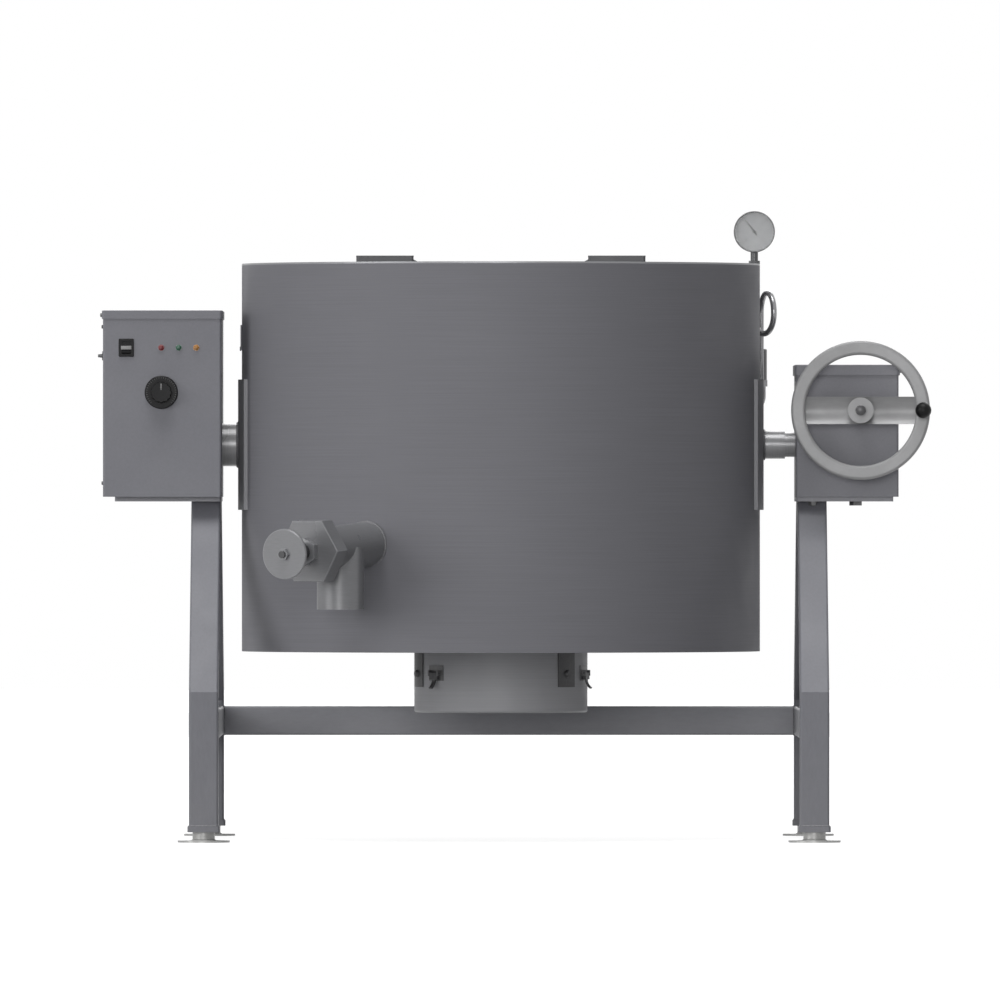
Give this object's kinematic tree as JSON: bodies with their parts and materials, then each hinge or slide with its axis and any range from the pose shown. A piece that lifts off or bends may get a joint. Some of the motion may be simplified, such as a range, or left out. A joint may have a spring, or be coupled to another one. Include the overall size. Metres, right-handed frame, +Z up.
{
  "type": "tilting steam jacketed kettle",
  "caption": "Floor-standing steam jacketed cooking kettle hung on trunnions in a tube stand, with worm-gear tilt, draw-off valve, gauge, split covers and control box.",
  "frame": {"origin": "on the floor at the centre of the four feet's anchor holes", "axes": "+X to the right of a person who faces the controls, along the trunnion axis; +Y to the back; +Z up"},
  "size_m": [1.4296, 1.0781, 1.0815],
  "materials": {
    "frame_grey": "satin grey enamelled tube",
    "zinc_steel": "zinc plated steel",
    "cast_grey": "cast and machined iron",
    "grey_sheet": "satin grey enamelled sheet",
    "black_plastic": "black moulded plastic",
    "red_lens": "red translucent lens",
    "green_lens": "green translucent lens",
    "amber_lens": "amber translucent lens",
    "grey_plastic": "grey moulded plastic",
    "brushed_stainless": "satin brushed stainless sheet",
    "bright_stainless": "bright machined stainless",
    "gear_bronze": "bronze worm wheel",
    "copper_sheath": "sheathed element tube and brass head",
    "fitting_brass": "plated brass fittings",
    "dark_metal": "dark enamelled metal",
    "dial_white": "white dial face",
    "gauge_glass": "clear flat glass",
    "gear_steel": "ground steel worm",
    "wheel_alloy": "polished alloy casting",
    "pointer_black": "black pointer"
  },
  "bodies": {
    "stand": {"left_front_leg": "frame_grey", "left_rear_leg": "frame_grey", "right_front_leg": "frame_grey", "right_rear_leg": "frame_grey", "left_side_rail": "frame_grey", "right_side_rail": "frame_grey", "rear_crossbar": "frame_grey", "flanged_feet": "zinc_steel", "left_support_tray": "frame_grey", "right_support_tray": "frame_grey", "left_trunnion_bearing": "cast_grey", "right_trunnion_bearing": "cast_grey", "worm_bearing_blocks": "cast_grey", "gearbox_bolts": "zinc_steel", "gearbox_housing": "grey_sheet", "gearbox_cap": "grey_sheet", "control_box_body": "grey_sheet", "control_box_cap": "grey_sheet", "switch_bezel": "black_plastic", "red_lamp": "red_lens", "green_lamp": "green_lens", "amber_lamp": "amber_lens", "cable_gland": "black_plastic", "contactor": "grey_plastic"},
    "kettle": {"outer_shell": "brushed_stainless", "inner_bowl": "brushed_stainless", "steam_jacket": "brushed_stainless", "left_trunnion": "bright_stainless", "right_trunnion": "bright_stainless", "worm_wheel": "gear_bronze", "element_drum": "brushed_stainless", "heating_elements": "copper_sheath", "hanger_brackets": "zinc_steel", "latch_plates": "zinc_steel", "draw_off_body": "bright_stainless", "draw_off_bonnet": "bright_stainless", "pressure_manifold": "fitting_brass", "gauge_siphon": "fitting_brass", "gauge_case": "dark_metal", "gauge_dial": "dial_white", "gauge_glass": "gauge_glass", "relief_valve_body": "fitting_brass"},
    "worm": {"worm_shaft": "gear_steel", "handwheel": "wheel_alloy"},
    "crank_knob": {"crank_knob": "black_plastic"},
    "power_rocker": {"power_rocker": "grey_plastic"},
    "thermostat_knob": {"thermostat_knob": "black_plastic"},
    "cam_lock": {"cam_lock": "bright_stainless"},
    "left_latch_lever": {"left_latch_lever": "dark_metal"},
    "right_latch_lever": {"right_latch_lever": "dark_metal"},
    "rear_latch_lever": {"rear_latch_lever": "dark_metal"},
    "draw_off_plug": {"draw_off_plug": "bright_stainless"},
    "draw_off_wheel": {"draw_off_stem": "bright_stainless", "draw_off_wheel": "brushed_stainless"},
    "gauge_pointer": {"gauge_pointer": "pointer_black"},
    "relief_valve_lever": {"relief_valve_lever": "zinc_steel"},
    "left_cover": {"left_cover": "brushed_stainless", "left_cover_handle": "brushed_stainless"},
    "right_cover": {"right_cover": "brushed_stainless", "right_cover_handle": "brushed_stainless"}
  },
  "joints": [
    {"name": "kettle_tilt", "type": "hinge", "parent": "stand", "child": "kettle", "pos_m": [-0.014, 0, 0.678], "axis": [1, 0, 0], "range_deg": [0, 90]},
    {"name": "handwheel_turn", "type": "hinge", "parent": "stand", "child": "worm", "pos_m": [0.602, 0, 0.7365], "axis": [0, 1, 0], "range_deg": [0, 2700]},
    {"name": "crank_knob_spin", "type": "hinge", "parent": "worm", "child": "crank_knob", "pos_m": [0.709, -0.19, 0.7365], "axis": [0, 1, 0], "continuous": true},
    {"name": "power_switch", "type": "hinge", "parent": "stand", "child": "power_rocker", "pos_m": [-0.656, -0.137, 0.844], "axis": [1, 0, 0], "range_deg": [0, 18]},
    {"name": "thermostat_turn", "type": "hinge", "parent": "stand", "child": "thermostat_knob", "pos_m": [-0.596, -0.15, 0.7675], "axis": [0, 1, 0], "range_deg": [0, 270]},
    {"name": "box_lock_turn", "type": "hinge", "parent": "stand", "child": "cam_lock", "pos_m": [-0.7, 0, 0.831], "axis": [-1, 0, 0], "range_deg": [0, 90]},
    {"name": "left_latch_swing", "type": "hinge", "parent": "kettle", "child": "left_latch_lever", "pos_m": [-0.12844, -0.10305, 0.286], "axis": [-0.6691, 0.7431, 0], "range_deg": [0, 110]},
    {"name": "right_latch_swing", "type": "hinge", "parent": "kettle", "child": "right_latch_lever", "pos_m": [0.13246, -0.04759, 0.286], "axis": [-0.309, -0.9511, 0], "range_deg": [0, 110]},
    {"name": "rear_latch_swing", "type": "hinge", "parent": "kettle", "child": "rear_latch_lever", "pos_m": [-0.04602, 0.15063, 0.286], "axis": [0.9781, 0.2079, 0], "range_deg": [0, 110]},
    {"name": "draw_off_lift", "type": "slide", "parent": "kettle", "child": "draw_off_plug", "axis": [-0.5141, -0.8556, -0.061], "range_m": [0, 0.012]},
    {"name": "draw_off_turn", "type": "hinge", "parent": "draw_off_plug", "child": "draw_off_wheel", "pos_m": [-0.24345, -0.38187, 0.5074], "axis": [-0.5141, -0.8556, -0.061], "range_deg": [0, 1081]},
    {"name": "gauge_reading", "type": "hinge", "parent": "kettle", "child": "gauge_pointer", "pos_m": [0.42349, 0.14215, 1.046], "axis": [0, 1, 0], "range_deg": [-98, 172]},
    {"name": "relief_lift", "type": "hinge", "parent": "kettle", "child": "relief_valve_lever", "pos_m": [0.42377, 0.18009, 0.8515], "axis": [0.9511, 0.309, 0], "range_deg": [0, 25]},
    {"name": "left_cover_lift", "type": "slide", "parent": "kettle", "child": "left_cover", "axis": [0, 0, 1], "range_m": [0, 0.15]},
    {"name": "right_cover_lift", "type": "slide", "parent": "kettle", "child": "right_cover", "axis": [0, 0, 1], "range_m": [0, 0.15]}
  ],
  "couplings": [
    {"joint": "handwheel_turn", "follows": "kettle_tilt", "ratio": 30},
    {"joint": "draw_off_turn", "follows": "draw_off_lift", "rad_per_m": 1570.8}
  ]
}
